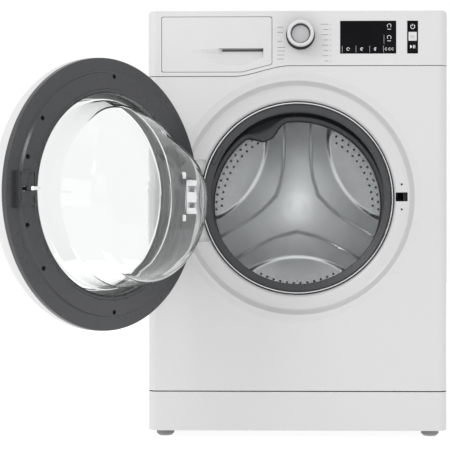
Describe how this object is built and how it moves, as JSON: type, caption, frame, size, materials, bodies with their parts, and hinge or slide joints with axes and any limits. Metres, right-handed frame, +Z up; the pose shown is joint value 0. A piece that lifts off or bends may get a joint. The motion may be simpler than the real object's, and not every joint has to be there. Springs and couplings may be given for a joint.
{
  "type": "front load washing machine",
  "caption": "Free-standing front load washing machine with open porthole door, steel drum, drive, drawer, selector knob and keys.",
  "frame": {"origin": "middle of the bottom of the whole part's bounding box, with the door open as it rests, on the floor", "axes": "+Z up, +Y towards the rear panel, +X to the right seen from the front"},
  "size_m": [0.796, 1.011, 0.85],
  "materials": {
    "white_enamel": "smooth white stove enamel, satin gloss",
    "white_plastic": "white moulded plastic, satin gloss",
    "worktop_laminate": "white laminate on board, satin",
    "dark_plastic": "dark grey moulded plastic, satin",
    "black_gloss": "black gloss",
    "grey_rubber": "dark grey moulded rubber",
    "belt_rubber": "black rubber",
    "clear_glass": "clear pressed glass",
    "clear_window": "clear moulded window",
    "chrome": "bright chrome",
    "stainless_steel": "satin stainless steel",
    "galvanised_steel": "galvanised sheet",
    "bearing_steel": "bright machined steel",
    "motor_metal": "grey motor casing",
    "cast_aluminium": "as cast, satin",
    "tub_plastic": "grey filled plastic",
    "drawer_plastic": "pale grey moulded plastic",
    "blue_plastic": "blue moulded plastic",
    "concrete": "cast concrete"
  },
  "bodies": {
    "cabinet": {"worktop": "worktop_laminate", "side_panel_left": "white_enamel", "side_panel_right": "white_enamel", "rear_panel": "galvanised_steel", "rear_access_cover": "galvanised_steel", "front_panel": "white_enamel", "plinth": "white_enamel", "base_tray": "dark_plastic", "control_fascia": "white_plastic", "foot_front_left": "dark_plastic", "foot_front_right": "dark_plastic", "foot_rear_left": "dark_plastic", "foot_rear_right": "dark_plastic", "drawer_housing": "drawer_plastic", "display_window": "black_gloss", "key_surround": "black_gloss", "control_board": "dark_plastic", "hinge_bracket": "chrome", "hinge_pin": "chrome", "door_lock": "dark_plastic", "door_gasket": "grey_rubber", "tub_front": "tub_plastic", "tub_rear": "tub_plastic", "front_bearing": "bearing_steel", "rear_bearing": "bearing_steel", "drive_belt": "belt_rubber", "drive_motor": "motor_metal", "heater": "stainless_steel", "upper_counterweight": "concrete", "suspension_spring_left": "bearing_steel", "suspension_spring_right": "bearing_steel", "damper_left": "dark_plastic", "damper_right": "dark_plastic", "drain_pump": "drawer_plastic", "sump_hose": "belt_rubber", "dispenser_hose": "belt_rubber", "inlet_valve": "drawer_plastic", "mains_gland": "belt_rubber"},
    "door": {"door_outer_ring": "white_plastic", "door_inner_frame": "dark_plastic", "door_glass_bowl": "clear_glass", "door_outer_window": "clear_window", "hinge_leaf": "chrome", "latch_pin": "chrome"},
    "door_latch": {"latch_hook": "chrome"},
    "drum": {"drum_shell": "stainless_steel", "drum_back": "stainless_steel", "drum_lifter_1": "drawer_plastic", "drum_lifter_2": "drawer_plastic", "drum_lifter_3": "drawer_plastic", "drum_spider": "cast_aluminium", "drum_pulley": "cast_aluminium"},
    "motor_rotor": {"motor_pulley": "bearing_steel"},
    "selector": {"selector_knob": "chrome"},
    "detergent_drawer": {"drawer_front": "white_plastic", "drawer_tray": "drawer_plastic", "siphon_cap": "blue_plastic"},
    "power_key": {"power_button": "black_gloss"},
    "steam_key": {"steam_button": "white_plastic"},
    "start_key": {"start_pause_button": "black_gloss"}
  },
  "joints": [
    {"name": "door_hinge", "type": "hinge", "parent": "cabinet", "child": "door", "pos_m": [-0.1245, -0.1065, 0.478], "axis": [0, 0, 1], "range_deg": [-15.3, 124.7]},
    {"name": "latch_pivot", "type": "hinge", "parent": "door", "child": "door_latch", "pos_m": [-0.36062, -0.4721, 0.483], "axis": [0, 0, 1], "range_deg": [0, 6], "stiffness_Nm_per_rad": 0.5},
    {"name": "drum_spin", "type": "hinge", "parent": "cabinet", "child": "drum", "pos_m": [0.1005, 0.3715, 0.465], "axis": [0, 1, 0], "continuous": true},
    {"name": "motor_spin", "type": "hinge", "parent": "cabinet", "child": "motor_rotor", "pos_m": [0.1455, 0.4535, 0.135], "axis": [0, 1, 0], "continuous": true},
    {"name": "knob_turn", "type": "hinge", "parent": "cabinet", "child": "selector", "pos_m": [0.1065, -0.0785, 0.799], "axis": [0, 1, 0], "continuous": true},
    {"name": "drawer_slide", "type": "slide", "parent": "cabinet", "child": "detergent_drawer", "axis": [0, -1, 0], "range_m": [0, 0.2]},
    {"name": "power_press", "type": "slide", "parent": "cabinet", "child": "power_key", "axis": [0, 1, 0], "range_m": [0, 0.0015], "stiffness_N_per_m": 600},
    {"name": "steam_press", "type": "slide", "parent": "cabinet", "child": "steam_key", "axis": [0, 1, 0], "range_m": [0, 0.0015], "stiffness_N_per_m": 600},
    {"name": "start_press", "type": "slide", "parent": "cabinet", "child": "start_key", "axis": [0, 1, 0], "range_m": [0, 0.0015], "stiffness_N_per_m": 600}
  ],
  "couplings": [
    {"joint": "motor_spin", "follows": "drum_spin", "ratio": 14}
  ]
}
